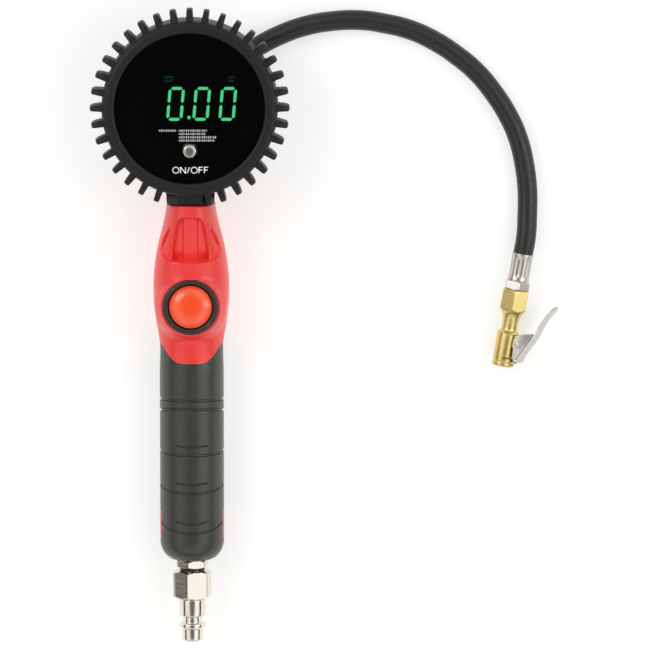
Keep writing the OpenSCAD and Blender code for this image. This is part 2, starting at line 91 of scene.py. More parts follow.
# The hose's route, from the handle's ferrule to the chuck's. It lies flat where z is HOSE_R.
ROUTE = [
    (0, 73, 9), (0, 79, 9), (1.5, 88, 8.5), (5.5, 100, 7), (12, 111.5, 5.5), (20.5, 121, 4.7),
    (30, 128, 4.6), (41.5, 134, 4.6), (53, 138, 4.6), (64.5, 140, 4.6), (77, 140.5, 4.6),
    (88.5, 139, 4.6), (100.5, 136, 4.6), (111.5, 131, 4.6), (121.5, 124.5, 4.6),
    (131, 116.5, 4.6), (138.5, 107.5, 4.6), (145, 97.5, 4.6), (150, 86.5, 4.6),
    (153, 74.5, 4.6), (154.5, 62.5, 4.8), (154.5, 50.5, 5.6), (153.9, 40.2, 6.7),
    (152.6, 33, 6.7),
]

# --- Camera ---

camera = add_object("camera", bpy.data.cameras.new("camera"))
scene.camera = camera
FRAME_WIDTH = 299
CAMERA_DISTANCE = 2600
CAMERA_TILT = radians(7)
camera.data.sensor_width = 36
camera.data.lens = camera.data.sensor_width * CAMERA_DISTANCE / FRAME_WIDTH
camera.data.clip_start = 0.05
camera.data.clip_end = 20
aim = Vector((61.35, 0.8, AXIS_Z))
back = Vector((0, sin(CAMERA_TILT), cos(CAMERA_TILT)))
camera.location = (aim + back * CAMERA_DISTANCE) * MM
camera.rotation_euler = (-CAMERA_TILT, 0, 0)


# --- Geometry helpers ---

def place(origin=(0, 0, 0), along=(0, 0, 1), across=(1, 0, 0)):
    """A frame whose z runs along one direction and whose x runs across it."""
    z = Vector(along).normalized()
    x = Vector(across).normalized()
    y = z.cross(x)
    turn = Matrix((x, y, z)).transposed().to_4x4()
    return Matrix.Translation(Vector(origin)) @ turn


def along_y(z=AXIS_Z):
    return place((0, 0, z), (0, 1, 0), (1, 0, 0))


def upright(x, y):
    return place((x, y, 0))


AT_GAUGE = upright(0, GAUGE[1])
AT_BUTTON = upright(0, BUTTON[1])


def moved(points, frame_of):
    m = np.array(frame_of)
    return np.asarray(points) @ m[:3, :3].T + m[:3, 3]


def grid(rows, columns, wrap_columns=True, wrap_rows=False):
    """Faces of a grid of points, stored row after row."""
    faces = []
    for i in range(rows if wrap_rows else rows - 1):
        j = (i + 1) % rows
        for k in range(columns if wrap_columns else columns - 1):
            n = (k + 1) % columns
            faces.append((i * columns + k, i * columns + n, j * columns + n, j * columns + k))
    return faces


def mesh_of(name, points, faces):
    mesh = bpy.data.meshes.new(name)
    mesh.from_pydata([tuple(p) for p in np.asarray(points) * MM], [], faces)
    return mesh


def put(name, form, material, stands_for=(), slot=None, body="tool", sharp=34):
    """One piece from its (points, faces). It rides on a body and stands for its CAD nodes.

    slot is worked out from the material's name when none is given, but not used. sharp is in
    degrees.
    """
    mesh = mesh_of(name, *form)
    work = bmesh.new()
    work.from_mesh(mesh)
    bmesh.ops.remove_doubles(work, verts=work.verts, dist=MERGE)
    bmesh.ops.dissolve_degenerate(work, edges=work.edges, dist=MERGE / 2)
    bmesh.ops.recalc_face_normals(work, faces=work.faces)
    for face in work.faces:
        face.smooth = True
    for edge in work.edges:
        if len(edge.link_faces) == 2:
            edge.smooth = edge.calc_face_angle(0) < radians(sharp)
    work.to_mesh(mesh)
    work.free()
    piece = add_object(name, mesh)
    mesh.materials.append(material)
    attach(piece, body)
    slot = slot or material.name.split(".")[0]      # without the .001 of a name that was taken
    if stands_for:
        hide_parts(*stands_for)
    return piece


def rounded(corners, closed=False, steps=4):
    """A profile with rounded corners, each (along, radius) or (along, radius, rounding)."""
    points = []
    count = len(corners)
    for i, corner in enumerate(corners):
        here = np.array(corner[:2], float)
        size = corner[2] if len(corner) > 2 else 0
        if size == 0 or (not closed and i in (0, count - 1)):
            points.append(here)
            continue
        before = np.array(corners[i - 1][:2], float) - here
        after = np.array(corners[(i + 1) % count][:2], float) - here
        start = here + before * min(0.48, size / np.linalg.norm(before))
        end = here + after * min(0.48, size / np.linalg.norm(after))
        for t in np.linspace(0, 1, steps + 1):
            points.append((1 - t) ** 2 * start + 2 * t * (1 - t) * here + t ** 2 * end)
    return points


def turned(profile, frame_of, shape=None, count=96, closed=False):
    """A form turned about its frame's z. shape(along, radius, angles) may change its radius."""
    angles = np.arange(count) * 2 * pi / count
    rings = []
    for along, radius in profile:
        ring = np.full(count, float(radius)) if shape is None else shape(along, radius, angles)
        rings.append(np.stack([ring * np.cos(angles), ring * np.sin(angles),
                               np.full(count, float(along))], axis=1))
    return moved(np.concatenate(rings), frame_of), grid(len(profile), count, True, closed)


def lathe(name, corners, frame_of, material, stands_for, shape=None, count=96, closed=False,
          steps=4, **looks):
    """A turned piece with rounded corners."""
    form = turned(rounded(corners, closed, steps), frame_of, shape, count, closed)
    return put(name, form, material, stands_for, **looks)


def hexagon(flats, turn=0.0):
    """A shape that keeps a turned form inside a hexagon."""
    def shape(along, radius, angles):
        part = np.mod(angles - turn, pi / 3) - pi / 6
        return np.minimum(radius, flats / 2 / np.cos(part))
    return shape


def hex_profile(start, end, flats, inner, chamfer=0.55):
    """Corners of a hexagon's length with a turned chamfer at both ends."""
    corner = flats / sqrt(3)
    face = flats / 2 * 0.97
    rise = corner - face
    slope = [(t * rise * chamfer, face + t * rise) for t in np.linspace(0, 1, 5)]
    up = 1 if end > start else -1
    first = [(start + up * a, r) for a, r in slope]
    last = [(end - up * a, r) for a, r in reversed(slope)]
    return [(start, inner)] + first + last + [(end, inner)]


def smooth_curve(points):
    """A smooth curve through (place, value) points, as a function of place."""
    xs, ys = (np.array(v, float) for v in zip(*points))
    slopes = np.gradient(ys, xs)

    def at(x):
        x = np.clip(x, xs[0], xs[-1])
        i = np.clip(np.searchsorted(xs, x, side="right") - 1, 0, len(xs) - 2)
        h = xs[i + 1] - xs[i]
        t = (x - xs[i]) / h
        return ((2 * t ** 3 - 3 * t ** 2 + 1) * ys[i] + (t ** 3 - 2 * t ** 2 + t) * h * slopes[i]
                + (3 * t ** 2 - 2 * t ** 3) * ys[i + 1] + (t ** 3 - t ** 2) * h * slopes[i + 1])
    return at


def ease(x, low, high):
    """0 below low, 1 above high and smooth between."""
    t = np.clip((x - low) / (high - low), 0, 1)
    return t * t * (3 - 2 * t)


def arc(x, y, r, angles):
    return [(x + r * cos(a), y + r * sin(a)) for a in angles]


def join(*meshes):
    """Several (points, faces) as one."""
    points, faces, offset = [], [], 0
    for some_points, some_faces in meshes:
        points.append(np.asarray(some_points))
        faces += [tuple(i + offset for i in face) for face in some_faces]
        offset += len(some_points)
    return np.concatenate(points), faces


def capped(rings):
    """Rings of equal size joined to a closed form with flat ends."""
    rows, columns = len(rings), len(rings[0])
    faces = grid(rows, columns)
    faces.append(tuple(range(columns))[::-1])
    faces.append(tuple((rows - 1) * columns + k for k in range(columns)))
    return np.concatenate([np.asarray(r, float) for r in rings]), faces


def directions(path):
    """The unit direction at each point of a path."""
    run = np.gradient(path, axis=0)
    return run / np.linalg.norm(run, axis=1)[:, None]


def sides(path):
    """The unit normal on the left at each point of a flat path."""
    run = directions(path)
    return np.stack([-run[:, 1], run[:, 0]], axis=1)


def add_modifier(piece, kind, **settings):
    modifier = piece.modifiers.new(kind.lower(), kind)
    for key, value in settings.items():
        setattr(modifier, key, value)
    return modifier


def soften(piece, width, angle):
    """Bevel the edges that are bent by more than an angle."""
    add_modifier(piece, "BEVEL", width=width * MM, segments=2, limit_method="ANGLE",
                 angle_limit=radians(angle))


# --- Materials ---

def plug_in(tree, socket, value):
    """Feed a socket with a value or with another socket."""
    if isinstance(value, bpy.types.NodeSocket):
        tree.links.new(value, socket)
    else:
        socket.default_value = value


def feed(tree, node, **inputs):
    """Feed a node's inputs. _ in a name stands for a space."""
    for name, value in inputs.items():
        plug_in(tree, node.inputs[name.replace("_", " ")], value)
    return node


def add_node(tree, kind, **inputs):
    return feed(tree, tree.nodes.new("ShaderNode" + kind), **inputs)


def nodes_of(name):
    material = bpy.data.materials.new(name)
    material.use_nodes = True
    tree = material.node_tree
    tree.nodes.clear()
    shader = add_node(tree, "BsdfPrincipled")
    add_node(tree, "OutputMaterial", Surface=shader.outputs[0])
    return material, tree, shader


def noise(tree, scale, detail=4, roughness=0.5, stretch=None):
    """A noise texture in the row frame. scale is per metre."""
    source = add_node(tree, "TexCoord").outputs["Object"]
    if stretch:
        source = add_node(tree, "Mapping", Scale=stretch, Vector=source).outputs["Vector"]
    texture = add_node(tree, "TexNoise", Scale=scale, Detail=detail, Roughness=roughness,
                       Vector=source)
    return texture.outputs["Fac"]


def ranged(tree, value, low, high, to_low, to_high):
    node = add_node(tree, "MapRange", From_Min=low, From_Max=high, To_Min=to_low, To_Max=to_high,
                    Value=value)
    return node.outputs["Result"]


def mixed(tree, share, first, second, blend="MIX"):
    """first and second mixed by share. Each is a colour with its alpha, or a socket."""
    node = add_node(tree, "Mix", Factor=share)
    node.data_type = "RGBA"
    node.blend_type = blend
    plug_in(tree, node.inputs[6], first)
    plug_in(tree, node.inputs[7], second)
    return node.outputs[2]


def shade(colour, factor=1):
    """A colour made lighter or darker, with its alpha."""
    return (*(min(1.0, c * factor) for c in colour), 1)


def finish_of(name, colour, roughness, metallic=0.0, vary=0.12, patch=90, rough_vary=0.08,
              grain=2500, grain_depth=0.03, stretch=None, worn=None, worn_share=0.35, dust_and_reflection=None,
              coat=0.0, coat_roughness=0.1, specular=0.5):
    """A material with patches of colour, uneven gloss, a fine grain and worn edges.

    patch and grain are per metre, and grain_depth is in millimetres.
    """
    material, tree, shader = nodes_of(name)
    base = mixed(tree, noise(tree, patch), shade(colour, 1 - vary), shade(colour, 1 + vary))
    # Patches of a second colour: real dust on the rubbers, and on the gauge's face a painted
    # reddish reflection of the red body.
    if dust_and_reflection:
        share = ranged(tree, noise(tree, patch * 5, 6, 0.7), 0.52, 0.8, 0, 0.5)
        base = mixed(tree, share, base, shade(dust_and_reflection))
    if worn:
        edge = add_node(tree, "NewGeometry").outputs["Pointiness"]
        base = mixed(tree, ranged(tree, edge, 0.52, 0.62, 0, worn_share), base, shade(worn))
    gloss = ranged(tree, noise(tree, patch * 4, 4, 0.6, stretch), 0.3, 0.7,
                   roughness - rough_vary, roughness + rough_vary)
    bump = add_node(tree, "Bump", Strength=0.6, Distance=grain_depth * MM,
                    Height=noise(tree, grain, 2, 0.5, stretch))
    feed(tree, shader, Base_Color=base, Roughness=gloss, Normal=bump.outputs["Normal"],
         Metallic=metallic, Coat_Weight=coat, Coat_Roughness=coat_roughness,
         Specular_IOR_Level=specular)
    return material


def metal(name, colour, roughness, vary=0.1, grain=2000, grain_depth=0.02, metallic=1.0, **more):
    return finish_of(name, colour, roughness, metallic, vary, grain=grain,
                     grain_depth=grain_depth, **more)


TURNED = (0.15, 3.0, 0.15)
RUBBER = finish_of("boot_rubber", (0.009, 0.0088, 0.0078), 0.5, vary=0.2, grain=3200,
                   grain_depth=0.05, dust_and_reflection=(0.02, 0.019, 0.017), worn=(0.05, 0.048, 0.043),
                   worn_share=0.3, specular=0.3)
HOSE = finish_of("hose_rubber", (0.009, 0.009, 0.0085), 0.42, vary=0.15, grain=2600,
                 grain_depth=0.04, worn=(0.08, 0.08, 0.076), worn_share=0.2,
                 dust_and_reflection=(0.045, 0.044, 0.04))
GRIP = finish_of("grip_black", (0.038, 0.038, 0.033), 0.31, vary=0.1, grain=4200,
                 grain_depth=0.05, worn=(0.16, 0.16, 0.15), worn_share=0.3)
RED = finish_of("body_red", (0.85, 0.040, 0.034), 0.36, vary=0.05, patch=40, rough_vary=0.05,
                grain=3800, grain_depth=0.02, worn=(0.95, 0.14, 0.12), worn_share=0.25,
                coat=0.15, coat_roughness=0.25)
ORANGE = finish_of("button_orange", (1.0, 0.085, 0.018), 0.16, vary=0.05, rough_vary=0.04,
                   grain=2400, grain_depth=0.006, coat=0.6, coat_roughness=0.06)
BEZEL = finish_of("bezel_black", (0.022, 0.018, 0.014), 0.42, vary=0.1, grain=4200,
                  worn=(0.13, 0.13, 0.12))
NICKEL = metal("fitting_nickel", (0.80, 0.745, 0.65), 0.13, 0.06, 1500, 0.012, patch=160,
               rough_vary=0.07, stretch=TURNED, worn=(0.95, 0.93, 0.88))
CHROME = metal("button_chrome", (0.82, 0.77, 0.71), 0.09, 0.03, 1600, 0.004, rough_vary=0.04)
BRASS = metal("chuck_brass", (0.74, 0.585, 0.235), 0.34, 0.1, 1800, patch=220, stretch=TURNED,
              worn=(0.9, 0.78, 0.45))
FITTING_BRASS = metal("fitting_brass", (0.72, 0.53, 0.22), 0.3, 0.1, 1800, patch=200,
                      stretch=TURNED, worn=(0.9, 0.75, 0.42))
ALUMINIUM = metal("ferrule_aluminium", (0.55, 0.54, 0.50), 0.33, 0.08, 1600, patch=300,
                  stretch=(1, 0.3, 1), worn=(0.85, 0.84, 0.8))
ZINC = metal("fitting_zinc", (0.80, 0.72, 0.66), 0.3, 0.12, 1800, patch=260,
             worn=(0.92, 0.88, 0.84))
STEEL = metal("clip_steel", (0.53, 0.515, 0.47), 0.34, 0.08, 1500, 0.015, patch=200,
              stretch=(1, 1, 0.2), worn=(0.9, 0.89, 0.86))
SCREW = metal("screw_steel", (0.30, 0.30, 0.31), 0.35)
SPRING = metal("spring_steel", (0.5, 0.5, 0.5), 0.3)
BLOCK = metal("block_aluminium", (0.6, 0.6, 0.61), 0.42, 0.08, 1500, 0.04)
TUBE = metal("tube_steel", (0.5, 0.5, 0.5), 0.3, 0.08, 1500, stretch=TURNED)
SEAL = finish_of("seal_rubber", (0.015, 0.015, 0.015), 0.6, vary=0.2)
CASE = finish_of("case_plastic", (0.035, 0.035, 0.036), 0.5, grain=3500, grain_depth=0.06,
                 worn=(0.1, 0.1, 0.1))
# The face's reddish patches are a painted reflection of the red body, not dust.
FACE_WITH_REFLECTION = finish_of("face_print", (0.004, 0.004, 0.005), 0.35, vary=0.2, rough_vary=0.05,
                 grain=3000, grain_depth=0.01, specular=0.2, patch=5, dust_and_reflection=(0.035, 0.012, 0.012))
DISPLAY = finish_of("display_glass", (0.003, 0.004, 0.004), 0.3, vary=0.2, rough_vary=0.03,
                    grain=1500, grain_depth=0.004, specular=0.2)
BOARD = finish_of("board", (0.02, 0.12, 0.05), 0.4, vary=0.2, grain=1500, grain_depth=0.05)
CELLS = metal("battery_can", (0.5, 0.32, 0.08), 0.3, grain_depth=0.01, metallic=0.7)
CONTACTS = metal("contact_metal", (0.6, 0.6, 0.58), 0.3, 0.12)
SENSOR = metal("sensor_can", (0.6, 0.6, 0.6), 0.3, 0.12)
COPPER = metal("washer_copper", (0.6, 0.33, 0.2), 0.35, 0.12)
BRONZE = metal("filter_bronze", (0.5, 0.33, 0.17), 0.6, 0.3, 2600, 0.15, metallic=0.8)


def lens_material():
    """A clear dark window that mirrors the lights and shows the display behind it."""
    material, tree, gloss = nodes_of("lens_dark")
    smear = ranged(tree, noise(tree, 120, 4, 0.6), 0.3, 0.7, 0.03, 0.09)
    feed(tree, gloss, Base_Color=(0.004, 0.004, 0.005, 1), Roughness=smear)
    clear = add_node(tree, "BsdfTransparent", Color=(0.4, 0.42, 0.42, 1))
    fresnel = add_node(tree, "Fresnel", IOR=1.5)
    mix = add_node(tree, "MixShader", Fac=ranged(tree, fresnel.outputs[0], 0, 1, 0.12, 1))
    tree.links.new(clear.outputs[0], mix.inputs[1])
    tree.links.new(gloss.outputs[0], mix.inputs[2])
    feed(tree, tree.nodes["Material Output"], Surface=mix.outputs[0])
    return material


def glow_material(name, colour, strength):
    """Glow that is a little uneven: the display's lit segments, and print seen through the window,
    which glows as painted light.
    """
    material, tree, shader = nodes_of(name)
    uneven = mixed(tree, noise(tree, 500, 2), shade(colour, 0.85), shade(colour, 1.1))
    feed(tree, shader, Roughness=0.4, Base_Color=uneven, Emission_Color=uneven,
         Emission_Strength=strength)
    return material


LENS = lens_material()
LIT = glow_material("display_lit", (0.08, 0.72, 0.27), 2.4)
FAINT = glow_material("display_faint", (0.04, 0.22, 0.1), 0.9)
# The face's white print glows as painted light, so that it stays bright under the dark window.
LEGEND_GLOW = glow_material("face_legend", (0.88, 0.88, 0.86), 2.0)


# --- Hose ---

def hose():
    curve = bpy.data.curves.new("air_hose", "CURVE")
    curve.dimensions = "3D"
    curve.bevel_depth = HOSE_R * MM
    curve.bevel_resolution = 9
    curve.resolution_u = 10
    curve.use_fill_caps = True
    spline = curve.splines.new("BEZIER")
    spline.bezier_points.add(len(ROUTE) - 1)
    for point, spot in zip(spline.bezier_points, ROUTE):
        point.co = Vector(spot) * MM
        point.handle_left_type = point.handle_right_type = "AUTO"
    piece = add_object("air_hose", curve)
    curve.materials.append(HOSE)
    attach(piece, "tool")
    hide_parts("hose")
    return piece, spline.calc_length()


air_hose, hose_length = hose()


# --- Gauge ---

def boot_shell():
    back_z, front_z = BOOT_LO[2], BOOT_HI[2]
    corners = [
        (back_z, 31.7, 0.5), (back_z, 38.9, 1.2), (back_z + 2.2, 40, 1.5),
        (front_z - 3.4, 40, 1.8), (front_z - 1.1, 39.5, 1.2), (front_z, 37.9, 1.3),
        (front_z, 34.9, 0.7), (front_z - 0.7, 34.1, 0.3), (44.85, 34.1, 0.1),
        (44.85, 37.5), (back_z + 1.5, 37.5), (back_z + 1.5, 31.7, 0.3),
    ]
    return turned(rounded(corners, True), AT_GAUGE, count=144, closed=True)


def boot_rib(angle):
    """One fin: full height at the front, running out to nothing towards the back."""
    foot_r, half = 39.2, 1.3
    tip_r = RIB_TIP_R - 0.05
    height = smooth_curve([(19, 39.6), (20, 41.2), (22.5, 42.9), (27, 44.3), (32, tip_r - 0.25),
                           (37, tip_r), (41.5, tip_r - 0.2), (43.6, tip_r - 0.9),
                           (44.3, tip_r - 2.0), (44.6, 42)])
    rings = []
    for z in np.concatenate([np.linspace(19, 38, 16), np.linspace(39.5, 44.6, 10)]):
        tip = min(float(height(z)), tip_r)
        width = half * (0.8 + 0.2 * ease(z, 19, 30)) * (0.8 + 0.2 * ease(44.9 - z, 0, 1.6))
        crown = [(tip + 0.7 * (abs(cos(a)) ** 0.6 - 1),
                  width * np.sign(sin(a)) * abs(sin(a)) ** 0.6)
                 for a in np.linspace(-pi / 2, pi / 2, 9)]
        section = [(foot_r, -width * 1.2)] + crown + [(foot_r, width * 1.2)]
        rings.append([(r, w, z) for r, w in section])
    points, faces = capped(rings)
    c, s = cos(angle), sin(angle)
    turn = np.array([[c, s, 0], [-s, c, 0], [0, 0, 1]])
    return points @ turn + np.array([0, GAUGE[1], 0]), faces


def neck_sleeve():
    """The boot's sleeve round the stem, with flat facets like the moulded one."""
    sections = [(58.25, 10.4, 16.8, 37.2), (58.6, 10.75, 16.4, 37.6), (60.5, 10.9, 16.2, 38.2),
                (63, 11.0, 16, 38.8), (67.5, 11.3, 16, 39.2)]
    rings = []
    for y, half, low, high in sections:
        deep = (high - low) / 2
        cut = 0.42
        outline = [(1, -cut), (1, cut), (cut * 1.25, 1), (0, 1.04), (-cut * 1.25, 1), (-1, cut),
                   (-1, -cut), (-cut, -1), (cut, -1)]
        rings.append([(half * x, y, (low + high) / 2 + deep * z) for x, z in outline])
    return capped(rings)


def rubber_boot():
    ribs = [boot_rib(radians(a)) for a in [*range(-70, 251, 10), 281.5]]
    form = join(boot_shell(), neck_sleeve(), *ribs)
    soften(put("gauge_boot", form, RUBBER, ["rubber_boot"], sharp=30), width=0.25, angle=38)


def lens():
    lo, hi = box_mm("lens")
    radius = (hi[0] - lo[0]) / 2
    power = middle("power_button")
    dome = 0.35
    corners = [(lo[2], radius - 0.3), (lo[2] + 0.4, radius), (hi[2] - 0.7, radius)]
    profile = rounded(corners + [(hi[2] - dome, radius - 0.3, 0.3)])
    steps = 14
    rings = [(hi[2] - dome * (r / radius) ** 2, r) for r in np.linspace(radius - 0.5, 0, steps)]
    points, faces = turned(profile + rings, AT_GAUGE, count=144)
    hole_r = 3.6
    faces = [f for f in faces
             if np.hypot(*(points[list(f), :2].mean(axis=0) - power[:2])) >= hole_r]
    put("gauge_window", (points, faces), LENS, ["lens"])


def display_digits():
    """Slanted seven-segment figures and a few faint marks, just above the display's glass."""
    z = box_mm("display_module")[1][2] + 0.03
    slant = tan(radians(5))
    width, height, stroke, thick = 7.4, 15.4, 1.35, 0.12
    centre_y = GAUGE[1] + 1.9

    def bar(x0, y0, x1, y1, wide=stroke):
        """One segment from end to end, with pointed ends."""
        start, end = np.array([x0, y0], float), np.array([x1, y1], float)
        run = (end - start) / np.linalg.norm(end - start)
        side = np.array([-run[1], run[0]]) * wide / 2
        tip = run * wide / 2
        start, end = start + run * 0.45, end - run * 0.45
        flat = [start, start + tip - side, end - tip - side, end, end - tip + side,
                start + tip + side]
        rings = [[(p[0] + (p[1] - centre_y) * slant, p[1], h) for p in flat]
                 for h in (z, z + thick)]
        return capped(rings)

    def zero(left):
        x0, x1 = left + stroke / 2, left + width - stroke / 2
        y0, y1 = centre_y - height / 2 + stroke / 2, centre_y + height / 2 - stroke / 2
        rim = [(x0, y0, x0, centre_y), (x0, centre_y, x0, y1), (x1, y0, x1, centre_y),
               (x1, centre_y, x1, y1), (x0, y0, x1, y0), (x0, y1, x1, y1)]
        return [bar(*b) for b in rim]

    lit = []
    for left in (-10.1, 1.75, 13.6):
        lit += zero(left)
    dot = arc(-0.35, centre_y - 6.2, 0.8, np.arange(12) * pi / 6)
    lit.append(capped([[(x, y, h) for x, y in dot] for h in (z, z + thick)]))
    put("display_figures", join(*lit), LIT, slot="display_glass")
    z = box_mm("face_plate")[1][2] + 0.02
    top = centre_y + 11.4
    pitch = 1.25
    faint = []
    for x0, count in ((-12.4, 4), (16.6, 3)):
        faint += [bar(x0 + pitch * i, top - 0.55, x0 + pitch * i, top + 0.55, 0.5)
                  for i in range(count)]
        for y in (top - 0.95, top + 0.95):
            faint.append(bar(x0 - 0.5, y, x0 + pitch * count - 0.6, y, 0.22))
    put("display_marks", join(*faint), FAINT, slot="face_print")


def ribbon(line, wide, z):
    """A flat printed line of even width."""
    tall = 0.05
    path = np.array(line, float)
    return capped([[(*(p - n), z), (*(p + n), z), (*(p + n), z + tall), (*(p - n), z + tall)]
                   for p, n in zip(path, sides(path) * wide / 2)])


def face_legend():
    """The button's ON/OFF legend, and rows of plain marks where the face has its small print, made
    to glow as painted light.
    """
    z = box_mm("face_plate")[1][2] + 0.02
    button = middle("power_button")
    pen, tall, gap = 0.5, 2.7, 0.75
    foot = button[1] - 9.0 - tall / 2
    ring = arc(0.5, 0.5, 0.5, np.linspace(0, 2 * pi, 33))
    letters = {
        "O": (2.8, [ring]),
        "N": (2.2, [[(0, 0), (0, 1)], [(0, 1), (1, 0)], [(1, 0), (1, 1)]]),
        "F": (1.7, [[(0, 0), (0, 1)], [(0, 1), (1, 1)], [(0, 0.52), (0.85, 0.52)]]),
        "/": (1.1, [[(0, 0), (1, 1)]]),
    }
    legend = "ON/OFF"
    left = button[0] + 0.3 - (sum(letters[c][0] + gap for c in legend) - gap) / 2
    forms = []
    for letter in legend:
        wide, strokes = letters[letter]
        for stroke in strokes:
            line = [(left + wide * x, foot + tall * y) for x, y in stroke]
            forms.append(ribbon(line, pen, z))
        left += wide + gap
    pitch, row_pitch, top, mark = 0.82, 1.5, button[1] + 9.0, 0.36
    for row, start, end in ((0, -13.8, -6), (0, -4.7, 8.4), (1, -4.7, 7), (2, -4.7, 11.8),
                            (3, -4.7, 11)):
        y = top - row_pitch * row
        for i, x in enumerate(np.arange(start, end, pitch)):
            half = 0.5 if i % 3 else 0.34
            forms.append(ribbon([(x, y - half), (x, y + half)], mark, z))
    put("face_marks", join(*forms), LEGEND_GLOW, slot="face_print")


def power_button():
    lo, hi = box_mm("power_button")
    x, y, _ = middle("power_button")
    low, top = lo[2], hi[2]
    corners = [(low, 0), (low, 4.05), (low + 1, 4.05, 0.2), (low + 1, 3.2), (top - 0.8, 3.2, 0.5),
               (top, 2.7, 0.8), (top - 0.25, 1.8, 0.5), (top - 0.35, 0)]
    lathe("power_key", corners, upright(x, y), CHROME, ["power_button"], count=64, steps=6,
          body="power")


rubber_boot()
lens()
display_digits()
face_legend()
power_button()


# --- Red body ---

HALF_WIDTH = smooth_curve([(-20, 14.75), (-8, 14.8), (BODY_FOOT, 14.9), (4, 16.4), (10, 17.1),
                           (17, 17.45), (24, 17.25), (32, 16.4), (40, 14.9), (48, 12.9),
                           (53, 11.8), (BODY_TOP, 11.1)])
BACK_Z = smooth_curve([(-20, 0), (BODY_FOOT, 0.1), (16, 0.05), (40, 0.25), (BODY_TOP, 0.6)])
FRONT_Z = smooth_curve([(-20, 29.5), (-8, 29.55), (BODY_FOOT, 29.8), (4, 32.2), (16, 34.1),
                        (28, 36), (40, 38), (50, 39.2), (BODY_TOP, 39.75)])
SQUARENESS = smooth_curve([(-20, 2), (BODY_FOOT, 2.02), (6, 2.25), (20, 2.4), (45, 2.5),
                           (BODY_TOP, 2.6)])
ARCH = smooth_curve([(32.9, 8.8), (38, 8.5), (44.2, 7.6), (48, 6.9), (50.4, 6.1), (52.0, 4.8),
                     (53.2, 2.8)])
OUTER = smooth_curve([(31.5, 8.6), (32.6, 10.6), (34, 12.3), (37, 13.9), (40, 13.2), (44, 11.4),
                      (48, 9.3), (52, 7.0)])
RIB_DEPTH = smooth_curve([(32, 4.6), (34.5, 4.3), (37, 3.5), (41, 2.8), (46, 2.1), (50, 1.9),
                          (53, 1.8)])
OUTER_DEPTH = smooth_curve([(31, 1.9), (35, 1.9), (40, 1.4), (46, 0.6), (52, 0.1)])


def recess(x, y):
    """Depth of the arched recess with its middle rib, of the wings beside it and of their slits."""
    side = np.abs(x)
    arch = ease(ARCH(y) - side, -0.3, 0.9) * ease(y, 32.4, 33.4) * ease(53.6 - y, 0, 2.2)
    panel = ease(side, 2.9, 3.6)
    inner = arch * (RIB_DEPTH(y) + 1.3 * panel)
    foot = 31.6 + 1.5 * (side / 12) ** 2
    wing = ease(OUTER(y) - side, -0.2, 1.6) * ease(y, foot - 0.6, foot + 1.3) * ease(52 - y, 0, 9)
    slit_y, slit_half, slit_x, lean = 43.6, 5.2, 11.0, 0.44
    along = (y - slit_y) / slit_half
    across = side - (slit_x - (y - slit_y) * lean)
    opening = 0.8 * (1.05 - along ** 2) - np.abs(across)
    slit = 1.3 * ease(1 - along ** 2, 0, 0.8) * ease(opening, -0.2, 0.5)
    lip = 0.35 * ease(1 - along ** 2, 0, 0.6) * np.exp(-((across - 0.95) / 0.35) ** 2)
    return np.maximum(inner, wing * OUTER_DEPTH(y)) + slit - lip


def body_surface(y, angle):
    """Points of the red body's outside. angle is 0 at +X and 90 degrees at the front."""
    half, low, high, power = HALF_WIDTH(y), BACK_Z(y), FRONT_Z(y), SQUARENESS(y)
    centre, deep = (low + high) / 2, (high - low) / 2
    c, s = np.cos(angle), np.sin(angle)
    x = half * np.sign(c) * np.abs(c) ** (2 / power)
    z = centre + deep * np.sign(s) * np.abs(s) ** (2 / power)
    r = np.hypot(x, y - BUTTON[1])
    collar_z, collar_r, fall, blend = 34.9, 13.7, 2.2, 1.6
    collar = collar_z - fall * np.maximum(0, r - collar_r)
    lifted = np.logaddexp(z / blend, collar / blend) * blend
    lifted -= 0.2 * blend * np.exp(-((z - collar) / blend) ** 2)
    share = ease(z, centre + 1, centre + 7) * ease(19 - r, 0, 3)
    z = z + (lifted - z) * share
    z = z - recess(x, y) * ease(z, centre + 2, centre + 7)
    dip_y, dip_width, deepest = -2.8, 1.7, 0.7
    dip = deepest * np.exp(-((y - dip_y - 0.02 * x * x) / dip_width) ** 2)
    dip = dip * ease(13.5 - np.abs(x), 0, 6)
    return x, z - dip * ease(z, centre + 3, centre + 9), centre


def body_angle_at(y, z):
    """The angle at which the body's side crosses a height."""
    low, high, power = BACK_Z(y), FRONT_Z(y), SQUARENESS(y)
    q = (z - (low + high) / 2) / ((high - low) / 2)
    return np.arcsin(np.sign(q) * np.abs(q) ** (power / 2))


